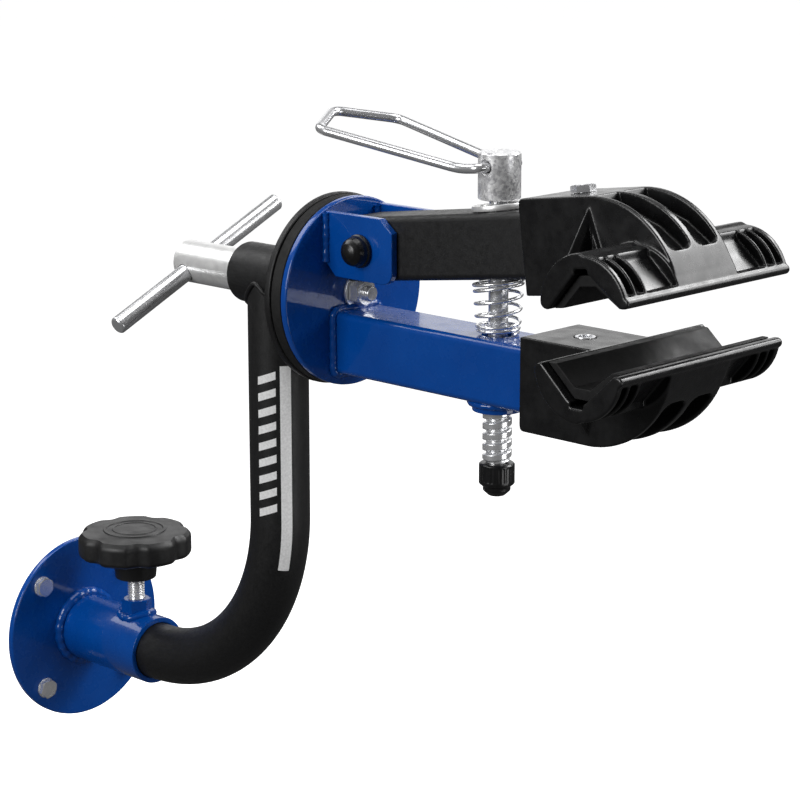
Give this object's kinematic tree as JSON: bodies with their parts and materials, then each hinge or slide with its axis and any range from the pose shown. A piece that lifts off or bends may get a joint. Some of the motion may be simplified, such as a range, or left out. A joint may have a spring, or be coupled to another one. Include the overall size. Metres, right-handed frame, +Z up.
{
  "type": "wall-mounted bicycle repair clamp",
  "caption": "Wall-mounted bicycle repair clamp: flanged socket with lock knob, bent tube arm, turning head with tee handle, and padded V jaws closed by a spindle with a wire bail.",
  "frame": {"origin": "centre of the wall flange's back face, on the wall", "axes": "+X straight out from the wall, +Z up, Y sideways along the wall"},
  "size_m": [0.5676, 0.1494, 0.4718],
  "materials": {
    "blue_enamel": "gloss",
    "black_powder_coat": "satin",
    "zinc_plate": "satin",
    "bright_steel": "gloss",
    "black_nylon": "satin",
    "black_rubber": "matte"
  },
  "bodies": {
    "wall_bracket": {"wall_flange": "blue_enamel", "wall_socket": "blue_enamel", "clamp_nut": "blue_enamel", "wall_bolt_1": "zinc_plate", "wall_bolt_2": "zinc_plate", "wall_bolt_3": "zinc_plate", "wall_bolt_4": "zinc_plate"},
    "clamp_screw": {"clamp_stud": "zinc_plate"},
    "knob": {"clamp_knob": "black_nylon"},
    "arm": {"arm_tube": "black_powder_coat", "head_tube": "black_powder_coat", "rear_bush": "black_powder_coat", "front_bush": "black_powder_coat", "rear_plate": "black_powder_coat", "friction_disc": "black_rubber"},
    "head": {"clamp_disc": "blue_enamel", "tie_bolt": "zinc_plate", "centre_washer": "zinc_plate", "centre_nut": "zinc_plate", "ear_left": "blue_enamel", "ear_right": "blue_enamel", "pivot_sleeve": "zinc_plate", "pivot_bolt": "zinc_plate", "pivot_nut": "zinc_plate", "pivot_cap_left": "black_nylon", "pivot_cap_right": "black_nylon", "lower_arm": "blue_enamel", "spindle_nut": "blue_enamel", "lower_jaw": "black_nylon", "lower_jaw_pad": "black_rubber", "lower_jaw_bolt": "zinc_plate", "lower_jaw_nut": "zinc_plate", "spring": "zinc_plate"},
    "tee_washer": {"thrust_washer": "zinc_plate"},
    "tee_handle": {"tee_barrel": "zinc_plate", "tee_bar": "bright_steel"},
    "upper_arm": {"upper_arm": "black_powder_coat", "hub_washer": "zinc_plate", "upper_jaw": "black_nylon", "upper_jaw_pad": "black_rubber", "upper_jaw_bolt": "zinc_plate", "upper_jaw_nut": "zinc_plate"},
    "spindle_slide": {"end_cap": "black_nylon"},
    "spindle": {"spindle": "zinc_plate", "spindle_hub": "zinc_plate"},
    "bail": {"bail": "bright_steel"}
  },
  "joints": [
    {"name": "arm_turn", "type": "hinge", "parent": "wall_bracket", "child": "arm", "pos_m": [0, 0, 0], "axis": [1, 0, 0], "continuous": true},
    {"name": "knob_travel", "type": "slide", "parent": "wall_bracket", "child": "clamp_screw", "axis": [0, 0, 1], "range_m": [0, 0.0035]},
    {"name": "knob_turn", "type": "hinge", "parent": "clamp_screw", "child": "knob", "pos_m": [0.0642, 0, 0], "axis": [0, 0, 1], "range_deg": [0, 721]},
    {"name": "head_turn", "type": "hinge", "parent": "arm", "child": "head", "pos_m": [0.2, 0, 0.289], "axis": [1, 0, 0], "continuous": true},
    {"name": "tee_travel", "type": "slide", "parent": "head", "child": "tee_washer", "axis": [-1, 0, 0], "range_m": [0, 0.00225]},
    {"name": "tee_turn", "type": "hinge", "parent": "tee_washer", "child": "tee_handle", "pos_m": [0.1392, 0, 0.289], "axis": [-1, 0, 0], "range_deg": [0, 541]},
    {"name": "jaw_swing", "type": "hinge", "parent": "head", "child": "upper_arm", "pos_m": [0.3185, 0, 0.3215], "axis": [0, -1, 0], "range_deg": [-8.5, 7], "deforming": ["spring"]},
    {"name": "spindle_travel", "type": "slide", "parent": "head", "child": "spindle_slide", "axis": [0, 0, 1], "range_m": [-0.016, 0.0132]},
    {"name": "spindle_turn", "type": "hinge", "parent": "spindle_slide", "child": "spindle", "pos_m": [0.41, 0, 0.3], "axis": [0, 0, 1], "range_deg": [-867, 714]},
    {"name": "bail_swing", "type": "hinge", "parent": "spindle", "child": "bail", "pos_m": [0.41, 0, 0.3805], "axis": [0, 1, 0], "range_deg": [-6, 140]}
  ],
  "couplings": [
    {"joint": "knob_turn", "follows": "knob_travel", "rad_per_m": 3590.4},
    {"joint": "tee_turn", "follows": "tee_travel", "rad_per_m": 4188.8},
    {"joint": "spindle_travel", "follows": "jaw_swing", "m_per_rad": 0.1069},
    {"joint": "spindle_turn", "follows": "jaw_swing", "ratio": 101.77}
  ]
}
